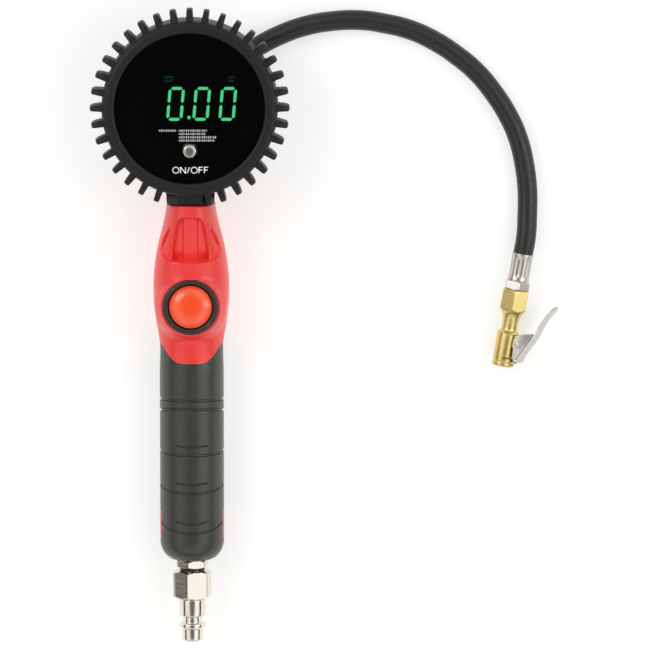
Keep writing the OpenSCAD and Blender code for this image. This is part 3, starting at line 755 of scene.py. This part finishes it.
def body_half(front):
    """One half of the red body as a grid of rows along Y, with its rim turned in at every edge."""
    gap, edge = 0.12, 0.35
    rows, columns = (190, 190) if front else (70, 90)
    seam = SPLIT_Z + (gap if front else -gap)
    insets = {-2: 1.0, -1: 0.3, 2: edge, 3: 4, 4: 8}
    points = []
    tongue = smooth_curve([(0, -15.4), (4.6, -15.35), (6.9, -14.8), (9.4, -12.9), (11.6, -10.2),
                           (13.6, -7.2), (14.9, BODY_FOOT)])
    t = np.linspace(0, 1, columns)
    for share in [-2, -1, *np.linspace(0, 1, rows), 2, 3, 4]:
        part = min(max(share, 0), 1)
        y = np.full(columns, BODY_FOOT + part * (BODY_TOP - edge - BODY_FOOT))
        for _ in range(3):
            low = body_angle_at(y, seam)
            angle = low + (pi - 2 * low) * t if front else low - (pi + 2 * low) * t
            x, z, centre = body_surface(y, angle)
            foot = tongue(np.abs(x)) if front else np.full(columns, BODY_FOOT)
            y = foot + part * (BODY_TOP - edge - foot)
        if share > 1:
            y = y + edge
        if share == -2:
            y = y + 0.5
        shrink = 1 - insets.get(share, 0) / np.hypot(x, z - centre)
        points.append(np.stack([x * shrink, y, centre + (z - centre) * shrink], axis=1))
    points = np.array(points)
    inward = np.array([[0.6, 0, 0]])
    left = points[:, :1] - np.sign(points[:, :1, :1]) * inward
    right = points[:, -1:] - np.sign(points[:, -1:, :1]) * inward
    points = np.concatenate([left, points, right], axis=1)
    return points.reshape(-1, 3), grid(len(points), points.shape[1], False)


def red_shells():
    """Both halves. The front one has a well for the thumb button, open at its floor."""
    well_r, opening_r, well_floor, above = 12.4, 12.0, 27.2, 22
    points, faces = body_half(True)
    around = np.hypot(points[:, 0], points[:, 1] - BUTTON[1])
    points[(around < well_r) & (points[:, 2] > above), 2] = well_floor
    faces = [f for f in faces
             if not all(around[i] < opening_r and points[i, 2] > above for i in f)]
    put("front_shell", (points, faces), RED, ["body_front"], sharp=50)
    put("rear_shell", body_half(False), RED, ["body_rear"], sharp=50)


def bezel_and_button():
    top = BEZEL_TOP
    corners = [(27, 11.5), (27, 12.88, 0.2), (top - 1.0, 12.88, 0.6), (top, 12.3, 0.7),
               (top, 10.9, 0.5), (top - 0.6, 10.25, 0.3), (29.6, 10.25), (29.6, 11.5)]
    lathe("button_ring", corners, AT_BUTTON, BEZEL, ["button_bezel"], count=120, closed=True)
    crown = box_mm("trigger_button")[1][2]
    skirt, dome_r = top - 1.0, 9.85
    dome = [(skirt + (crown - skirt) * sin(a), dome_r * cos(a) ** 0.9)
            for a in np.linspace(0.05, pi / 2, 26)]
    corners = [(28, 0), (28, 2.4), (33, 2.4), (33, 8.2), (27.65, 8.2), (27.65, 11.15),
               (29.1, 11.15), (29.2, dome_r), (skirt - 0.6, dome_r), (skirt, dome_r)]
    lathe("thumb_button", corners + dome[:-1] + [(crown, 0)], AT_BUTTON, ORANGE,
          ["trigger_button"], count=120, body="trigger")


def coil(name, node, wire, turns):
    """A spring with closed ends, as tall as its CAD node."""
    lo, hi = box_mm(node)
    radius = (hi[0] - lo[0]) / 2 - wire
    turn = np.linspace(0, turns, turns * 32 + 1)
    low, high, closed = lo[2] + wire, hi[2] - wire, 1.9 * wire
    z = np.interp(turn, [0, 0.9, turns - 0.9, turns], [low, low + closed, high - closed, high])
    angle = 2 * pi * turn
    out = np.stack([np.cos(angle), np.sin(angle), np.zeros_like(turn)], axis=1)
    line = out * radius
    line[:, 2] = z
    lift = np.cross(directions(line), out)
    around = np.arange(12) * pi / 6
    rings = [p + wire * (np.outer(np.cos(around), o) + np.outer(np.sin(around), n))
             for p, o, n in zip(line, out, lift)]
    points, faces = capped(rings)
    piece = put(name, (moved(points, AT_BUTTON), faces), SPRING, [node])
    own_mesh(piece)


red_shells()
bezel_and_button()
coil("button_coil", "trigger_spring", 0.5, 5)
coil("valve_coil", "valve_spring", 0.35, 4)


# --- Grip ---

INLAY_LO, INLAY_HI, INLAY_HALF = -98.0, -85.2, 3.5


def groove_depth(y, angle):
    """Depth of the grip's grooves. angle is 0 at the front and grows to both sides.

    Each pair has a groove all round and one above it, which tapers out to the sides at its reach.
    """
    deepest, half, flank = 0.8, 0.72, 0.4
    bow = np.minimum(1, 1 - np.cos(angle))
    x = GRIP_R * np.sin(angle)
    depth = np.zeros_like(y)
    pairs = [(-32.6, -36.5, -2.0, 40), (-53.9, -58.0, 1.1, 9.2), (-71.5, -75.6, 3.5, 9.2),
             (-89.8, -94.2, 6.2, 9.2)]
    for upper, lower, sag, reach in pairs:
        full = np.abs(y - (lower + sag * bow))
        depth = np.maximum(depth, deepest * ease(half - full, 0, flank))
        taper = 0.7 * np.minimum(1, np.abs(x) / reach) ** 2.5
        short = np.abs(y - (upper + (sag + 1.5) * bow)) + taper
        front = ease(np.cos(angle), 0, 0.05) if reach < 20 else 1
        depth = np.maximum(depth, deepest * ease(half - short, 0, flank) * front)
    return depth


def grip_rows(end):
    """Places of the rows along the grip, close together where the grooves and the windows are."""
    fine_zones = ((-41, -30), (-62, -50), (-80.5, -67.5), (end, -82.5))
    rows = [GRIP_HI[1]]
    while rows[-1] > end:
        fine = any(low <= rows[-1] <= high + 1 for low, high in fine_zones)
        rows.append(rows[-1] - (0.17 if fine else 0.9))
    return np.array(rows[:-1] + [end])


def shrunk(ring, share):
    """A ring round the grip's axis, made smaller."""
    axis = np.array([0, 0, AXIS_Z])
    return axis + (ring - axis) * np.array([share, 1, share])


def grip():
    """The grip: a turned-in rim, a straight length with grooves, and a foot rounded from start."""
    columns, start, foot_r = 200, -98.6, 6.9
    points = []
    angle = np.arange(columns) * 2 * pi / columns
    away = np.abs(np.mod(angle - pi / 2 + pi, 2 * pi) - pi)
    end_rows = start - (start - GRIP_LO[1]) * np.sin(np.linspace(0.08, pi / 2, 16))
    for y in np.concatenate([grip_rows(start), end_rows]):
        base = GRIP_R - 0.22 * ease(y, -20, -12)
        if y < start:
            fall = (start - y) / (start - GRIP_LO[1])
            base = foot_r + (GRIP_R - foot_r) * sqrt(max(0, 1 - fall ** 2))
        row_y = np.full(columns, y)
        depth = groove_depth(row_y, away) if y > start else 0
        arc = np.abs(away - pi / 2) * GRIP_R
        lengthways = (ease(y, INLAY_LO - 0.35, INLAY_LO - 0.05)
                      * ease(INLAY_HI + 0.35 - y, 0, 0.3))
        window = ease(INLAY_HALF + 0.25 - arc, 0, 0.3) * lengthways
        r = base - depth - 0.5 * window
        points.append(np.stack([r * np.cos(angle), row_y, AXIS_Z + r * np.sin(angle)], axis=1))
    rim = [shrunk(points[0], 1 - inset / GRIP_R) for inset in (2.0, 0.25)]
    inside = shrunk(points[-1], 0.9) + np.array([0, 1.5, 0])
    points = np.array([*rim, *points, inside])
    put("grip", (points.reshape(-1, 3), grid(len(points), columns)), GRIP, ["grip_sleeve"],
        sharp=45)


def inlays():
    """The red handle showing through a window on either side of the grip."""
    meshes = []
    for side in (0, pi):
        rings = []
        for y in np.linspace(INLAY_LO, INLAY_HI, 15):
            edge = min(y - INLAY_LO, INLAY_HI - y)
            half = INLAY_HALF - max(0, 1 - edge) ** 2
            rise = GRIP_R + 0.02 - 0.2 * max(0, 1 - edge / 0.6) ** 2
            top = [(rise - 0.25 * (abs(k) / 5) ** 6, side + half / GRIP_R * k / 5)
                   for k in range(-5, 6)]
            under = [(GRIP_R - 1.2, side + turn * half / GRIP_R) for turn in (1, -1)]
            rings.append([(r * cos(a), y, AXIS_Z + r * sin(a)) for r, a in top + under])
        meshes.append(capped(rings))
    put("side_inlays", join(*meshes), RED)


grip()
inlays()


# --- Air inlet ---

HEX_TURN = radians(19)
CHUCK_HEX_TURN = radians(15)


def air_plug():
    flats = 16
    top, hexed, barrel, groove, collar, tip = -113.4, -126.0, -134.9, -137.7, -140.4, -146.5
    corners = [(top, 0)] + hex_profile(top, hexed, flats, 7.2) + [
        (hexed - 0.1, 5.2, 0.1), (hexed - 0.7, 5.2, 0.2), (hexed - 0.8, 6.0, 0.3),
        (barrel + 0.7, 6.0, 0.3), (barrel, 5.3, 0.3), (barrel, 4.35, 0.2),
        (groove, 4.35, 0.3), (groove, 5.4, 0.2), (groove - 0.6, 6.0, 0.3), (collar + 0.6, 6.0, 0.3),
        (collar, 5.35, 0.2), (collar - 0.1, 4.95, 0.1), (collar - 0.5, 5.0),
        (tip + 1.0, 5.0, 0.4), (tip, 4.1, 0.4),
        (tip, 3.1, 0.3), (tip + 1, 2.9), (tip + 14, 2.9), (tip + 14, 0)]
    lathe("air_plug", corners, along_y(), NICKEL, ["coupler_plug"], hexagon(flats, HEX_TURN),
          count=144, sharp=28)


def adapter():
    flats, top, foot = 13, -108.3, -112.0
    corners = [(-104.1, 0), (-104.1, 6.2), (top, 6.2)] + hex_profile(top, foot, flats, 6.0) + [
        (foot - 0.1, 5.0), (-119, 5.0), (-119, 0)]
    lathe("inlet_nut", corners, along_y(), NICKEL, ["inlet_adapter"], hexagon(flats, HEX_TURN),
          count=144, sharp=28)


def hose_nipple():
    flats, low, high = 12.4, 58.1, 62.8
    z = middle("hose_fitting")[2]
    corners = [(45, 0), (45, 4.85), (low, 4.85)] + hex_profile(low, high, flats, 5.4) + [
        (high, 2.6), (72, 2.6), (72, 0)]
    lathe("hose_nipple", corners, along_y(z), FITTING_BRASS, ["hose_fitting"], hexagon(flats),
          sharp=28)


def inlet_ring():
    """The sealing ring squeezed between the two hexagons."""
    lo, hi = box_mm("inlet_oring")
    centre, half = (lo[1] + hi[1]) / 2, (hi[1] - lo[1]) / 2
    ring_r = 5.1
    profile = [(along, r) for r, along in arc(ring_r, centre, half, np.arange(20) * pi / 10)]
    lathe("inlet_ring", profile, along_y(), SEAL, ["inlet_oring"], count=72, closed=True)


air_plug()
adapter()
inlet_ring()
hose_nipple()


# --- Ferrules and chuck ---

def crimped(length):
    """Profile and shape of a crimped ferrule: six pressed lobes between two flared ends."""
    def shape(along, radius, angles):
        press = ease(along, 1.2, 3.0) * ease(length - along, 1.4, 3.4)
        lobes = np.abs(np.cos(3 * angles + 0.4)) ** 0.7
        flare = 1 - ease(along, 0.2, 2.4) * 0.04 - ease(length - along, 0.2, 2.6) * 0.04
        return np.where(radius > 4.7, radius * flare - press * (1 - lobes) * 0.55, radius)
    corners = [(0, 4.7), (0, 5.15, 0.3)] + [(s, 5.2) for s in np.linspace(0.5, length - 0.5, 26)]
    corners += [(length, 5.15, 0.3), (length, 2.8)]
    return rounded([(0, 2.8)] + corners, True), shape


def ferrule(name, node, frame_of, length):
    profile, shape = crimped(length)
    form = turned(profile, frame_of, shape, count=128, closed=True)
    return put(name, form, ALUMINIUM, [node], sharp=50)


CHUCK_END = Vector(ROUTE[-1])
CHUCK_AXIS = Vector((-sin(CHUCK_TURN), -cos(CHUCK_TURN), 0))
CHUCK_SIDE = Vector((cos(CHUCK_TURN), -sin(CHUCK_TURN), 0))
CHUCK_SIDE = CHUCK_SIDE * cos(CHUCK_ROLL) + Vector((0, 0, sin(CHUCK_ROLL)))
AT_CHUCK = place(CHUCK_END, CHUCK_AXIS, CHUCK_SIDE)
MOUTH = 52.9                # from the hose's end to the chuck's mouth
PIVOT = (6.8, 41.1)         # the clip's pin, across and along the chuck
FERRULE_LENGTH = 12.9


def tail_nut():
    flats, low, high = 10.2, FERRULE_LENGTH, 16.85
    corners = [(1, 0), (1, 2.6), (low, 2.6)] + hex_profile(low, high, flats, 4.8, 0.5) + [
        (high, 3.3), (21.9, 3.3), (21.9, 0)]
    return lathe("hose_tail_nut", corners, AT_CHUCK, ZINC, ["hose_tail"], hexagon(flats),
                 sharp=28)


def at_chuck(points, faces):
    """A form given in the chuck's frame, as (across, up, along)."""
    return moved(points, AT_CHUCK), faces


def slab(outline, half):
    """A flat form in the chuck's frame: an (across, along) outline, as thick as 2 * half."""
    return at_chuck(*capped([[(n, z, s) for n, s in outline] for z in (-half, half)]))


def cut_away(piece, form):
    """Take a closed form out of a piece."""
    mesh = mesh_of("cutter", *form)
    work = bmesh.new()
    work.from_mesh(mesh)
    bmesh.ops.recalc_face_normals(work, faces=work.faces)
    work.to_mesh(mesh)
    work.free()
    cutter = add_object("cutter", mesh)
    modifier = add_modifier(piece, "BOOLEAN", operation="DIFFERENCE", object=cutter,
                            solver="EXACT")
    graph = bpy.context.evaluated_depsgraph_get()
    graph.update()
    cut = bpy.data.meshes.new_from_object(piece.evaluated_get(graph))
    piece.modifiers.remove(modifier)
    piece.data = cut
    bpy.data.objects.remove(cutter)


def chuck():
    """Hexagon, fluted waist, barrel with its lug, and a mouth with the slot for the claw."""
    waist = smooth_curve([(24.6, 7.4), (26.2, 6.3), (27.6, 5.1), (29.4, 4.2), (31.6, 3.8),
                          (34.0, 3.7), (35.8, 3.85), (36.6, 4.3), (37.0, 4.9)])
    start, flats = 16.95, 11.5
    corner = flats / sqrt(3)
    hexed = hexagon(flats, CHUCK_HEX_TURN)

    def shape(along, radius, angles):
        return hexed(along, radius, angles) if along < 30 else np.full_like(angles, radius)

    chamfer = hex_profile(start, MOUTH, flats, 4.8)[:6]
    profile = [(start, 3.4)] + chamfer + [(s, corner) for s in (20, 23, 24.4)]
    profile += [(s, min(corner, float(waist(s)))) for s in np.linspace(24.8, 37.0, 30)]
    barrel = [(37.1, 4.95), (37.3, 5.15, 0.1), (37.7, 5.15, 0.1), (37.9, 4.9, 0.1),
              (38.2, 5.05, 0.1), (50.2, 5.05, 0.3), (50.5, 4.8, 0.15), (50.9, 4.8, 0.15),
              (51.2, 5.05, 0.2), (MOUTH - 0.5, 5.05, 0.3), (MOUTH, 4.7, 0.3), (MOUTH, 4.35, 0.1),
              (MOUTH - 0.4, 4.1), (46, 4.1), (46, 2), (start, 2)]
    profile = profile + rounded([profile[-1]] + barrel)[1:]
    turned_form = turned(profile, AT_CHUCK, shape, count=144, closed=True)
    lug = []
    lug_r, lug_foot = 2.1, 4.2
    for z, r in ((-3.5, 1.85), (-3.2, lug_r), (3.2, lug_r), (3.5, 1.85)):
        ring = arc(*PIVOT, r, np.linspace(-1.9, 1.9, 17))
        ring = [(lug_foot, PIVOT[1] - lug_r)] + ring + [(lug_foot, PIVOT[1] + lug_r)]
        lug.append([(n, z, s) for n, s in ring])
    form = join(turned_form, at_chuck(*capped(lug)))
    piece = put("chuck", form, BRASS, ["chuck_body"], sharp=30)
    for n0, n1, s0, s1, half in ((3.4, 8, 48.5, 51.9, 2.6), (0.6, 8, 48.2, 49.1, 7)):
        cut_away(piece, slab([(n0, s0), (n1, s0), (n1, s1), (n0, s1)], half))
    return piece


def depressor():
    """The pin in the chuck that opens the tyre valve, and the cross-bar that holds it."""
    back, front, end, reach = 40, 41.1, 45.8, 1.95
    corners = [(front - 0.1, 0), (front - 0.1, 0.9), (end - 0.2, 0.9, 0.2), (end, 0.6), (end, 0)]
    pin = turned(rounded(corners), AT_CHUCK, count=32)
    bar = slab([(-reach, back), (reach, back), (reach, front), (-reach, front)], 0.5)
    return put("valve_pin", join(pin, bar), BRASS, ["core_depressor"])


def lever():
    """The clip: a bent steel strip with two ears on the pin and a claw at its end."""
    line = [(20.6, 20.6), (19.4, 22.2), (17.2, 26.0), (15.3, 29.6), (14.2, 33.0), (12.9, 36.6),
            (10.4, 41.6), (8.1, 46.4), (7.5, 48.2), (7.3, 49.2), (5.9, 49.9), (4.5, 50.2)]
    thick, half_width = 0.95, 4.6
    middle_line = []
    for i in range(len(line) - 1):
        before = line[max(i - 1, 0)]
        after = line[min(i + 2, len(line) - 1)]
        for t in np.linspace(0, 1, 5, endpoint=False):
            middle_line.append([
                0.5 * (2 * a + (b - z) * t + (2 * z - 5 * a + 4 * b - c) * t ** 2
                       + (3 * a - z - 3 * b + c) * t ** 3)
                for z, a, b, c in zip(before, line[i], line[i + 1], after)])
    middle_line.append(list(line[-1]))
    path = np.array(middle_line)
    total = np.concatenate([[0], np.cumsum(np.linalg.norm(np.diff(path, axis=0), axis=1))])
    rings = []
    for p, n, at in zip(path, sides(path), total):
        half = half_width * sqrt(max(0.12, 1 - max(0, 1 - at / 3.6) ** 2))
        half -= 1.2 * float(ease(at, total[-1] - 3.0, total[-1] - 2.2))
        half -= 0.5 * float(ease(at, 3, 9)) * float(1 - ease(at, 13, 18))
        ring = []
        for w, d in ((-1, -1), (-0.93, -1), (0.93, -1), (1, -1), (1, 1), (0.93, 1), (-0.93, 1),
                     (-1, 1)):
            trim = 0.65 if abs(w) == 1 else 1
            offset = p - n * (0.5 - 0.5 * d * trim) * thick
            ring.append((offset[0], half * w, offset[1]))
        rings.append(ring)
    forms = [capped(rings)]
    outline = np.array([(12.6, 36.9), (12.1, 35.8), (9.0, 36.4), (5.2, 37.4), (4.9, 38.2),
                        (5.0, 44.0), (5.2, 48.3), (6.0, 48.9), (7.2, 48.4), (7.9, 46.8),
                        (10.2, 41.9)])
    edge, shrink = 0.12, 0.024
    inner = outline + (np.mean(outline, axis=0) - outline) * shrink
    for z0, z1 in ((-4.75, -3.85), (3.85, 4.75)):
        levels = ((z0, inner), (z0 + edge, outline), (z1 - edge, outline), (z1, inner))
        forms.append(capped([[(n, z, s) for n, s in ring] for z, ring in levels]))
    return put("clip", at_chuck(*join(*forms)), STEEL, ["clip_lever"], body="clip", sharp=40)


def clip_pin():
    corners = [(-5.4, 0), (-5.4, 1.6, 0.3), (-4.9, 1.9, 0.2), (-4.85, 1.2),
               (4.85, 1.2), (4.9, 1.7, 0.2), (5.4, 1.5, 0.3), (5.4, 0)]
    centre = moved([(PIVOT[0], 0, PIVOT[1])], AT_CHUCK)[0]
    up = AT_CHUCK.to_3x3() @ Vector((0, 1, 0))
    return lathe("clip_rivet", corners, place(centre, up, CHUCK_AXIS), STEEL, ["clip_pin"],
                 count=40)


inner_z = middle("ferrule_inner")[2]
at_handle = place((0, ROUTE[0][1], inner_z), (0, -1, 0), (1, 0, 0))
ferrule("ferrule_at_handle", "ferrule_inner", at_handle, 10.1)
on_hose = [ferrule("ferrule_at_chuck", "ferrule_outer", AT_CHUCK, FERRULE_LENGTH), tail_nut(),
           chuck(), depressor(), lever(), clip_pin(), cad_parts["chuck_seal"],
           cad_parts["clip_spring"]]


# --- CAD pieces that keep their own shape ---

CAD_FINISH = {
    CASE: ("gauge_case", "battery_door"), FACE_WITH_REFLECTION: ("face_plate",), DISPLAY: ("display_module",),
    BOARD: ("circuit_board",), CELLS: ("batteries",), CONTACTS: ("battery_contacts",),
    SCREW: ("door_screw", "shell_screws"), SENSOR: ("pressure_sensor",), COPPER: ("stem_washer",),
    FITTING_BRASS: ("gauge_stem", "stem_nut", "valve_stem", "valve_cap"),
    SEAL: ("lens_seal", "poppet_seal", "stem_seal", "chuck_seal"), BLOCK: ("valve_block",),
    TUBE: ("inlet_tube",), BRONZE: ("inlet_filter",), SPRING: ("clip_spring",),
}
for material, nodes in CAD_FINISH.items():
    for node in nodes:
        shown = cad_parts[node].data.materials
        shown.clear()
        shown.append(material)
for node in ("gauge_case", "battery_door", "shell_screws", "door_screw", "face_plate"):
    soften(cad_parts[node], width=0.2, angle=40)


# --- Floor and light ---

def floor():
    """A sheet of paper just under the object, lit a little from within. Sizes are in metres."""
    mesh = bpy.data.meshes.new("floor")
    size = 12.0
    corners = [(-size, -size, 0), (size, -size, 0), (size, size, 0), (-size, size, 0)]
    mesh.from_pydata(corners, [], [(0, 1, 2, 3)])
    piece = add_object("floor", mesh)
    piece.location.z = -0.0001
    paper = finish_of("floor_paper", (0.52, 0.52, 0.51), 0.8, vary=0.01, patch=3, grain=900,
                      grain_depth=0.02, specular=0.1)
    tree = paper.node_tree
    feed(tree, tree.nodes["Principled BSDF"], Emission_Color=(1, 1, 0.99, 1),
         Emission_Strength=0.58)
    mesh.materials.append(paper)


def light(name, spot, target, size, power):
    """A warm area light. Places and sizes are in metres, and power is in watts."""
    data = bpy.data.lights.new(name, "AREA")
    data.shape = "RECTANGLE"
    data.size, data.size_y = size
    data.energy = power
    data.color = (1, 0.985, 0.96)
    lamp = add_object(name, data)
    lamp.location = spot
    lamp.rotation_euler = (Vector(target) - Vector(spot)).to_track_quat("-Z", "Y").to_euler()


def ramp_of(tree, value, stops):
    """A grey ramp over value, which runs from -1 to 1."""
    ramp = add_node(tree, "ValToRGB", Fac=ranged(tree, value, -1, 1, 0, 1))
    elements = ramp.color_ramp.elements
    elements.remove(elements[1])
    elements[0].position = 0
    elements[0].color = (stops[0][1],) * 3 + (1,)
    for spot, bright in stops[1:]:
        elements.new((spot + 1) / 2).color = (bright, bright, bright, 1)
    return ramp.outputs["Color"]


def studio_world():
    """A light tent: bright all round, dim low and straight above, so that metal shows bands."""
    world = bpy.data.worlds.new("studio")
    scene.world = world
    world.use_nodes = True
    tree = world.node_tree
    split = add_node(tree, "SeparateXYZ", Vector=add_node(tree, "TexCoord").outputs["Generated"])
    height = ramp_of(tree, split.outputs["Z"], (
        (-1, 1.4), (0.045, 1.4), (0.08, 0.1), (0.35, 0.1), (0.46, 1.05), (0.7, 1.05),
        (0.86, 0.95), (0.95, 0.22), (1, 0.18)))
    sideways = ramp_of(tree, split.outputs["X"], (
        (-1, 0.75), (-0.5, 0.85), (-0.3, 0.95), (-0.08, 0.7), (0.1, 0.7), (0.3, 1.05), (0.6, 1.0),
        (1, 0.8)))
    product = mixed(tree, 1, height, sideways, "MULTIPLY")
    feed(tree, tree.nodes["Background"], Color=product, Strength=1.2)


floor()
studio_world()
light("key", (-0.75, 0.55, 0.95), (0.02, 0.02, 0), (0.6, 0.7), 3.6)
light("fill", (0.95, 0.1, 0.75), (0.05, 0, 0), (0.35, 0.9), 2.2)
scene.view_settings.view_transform = "Standard"
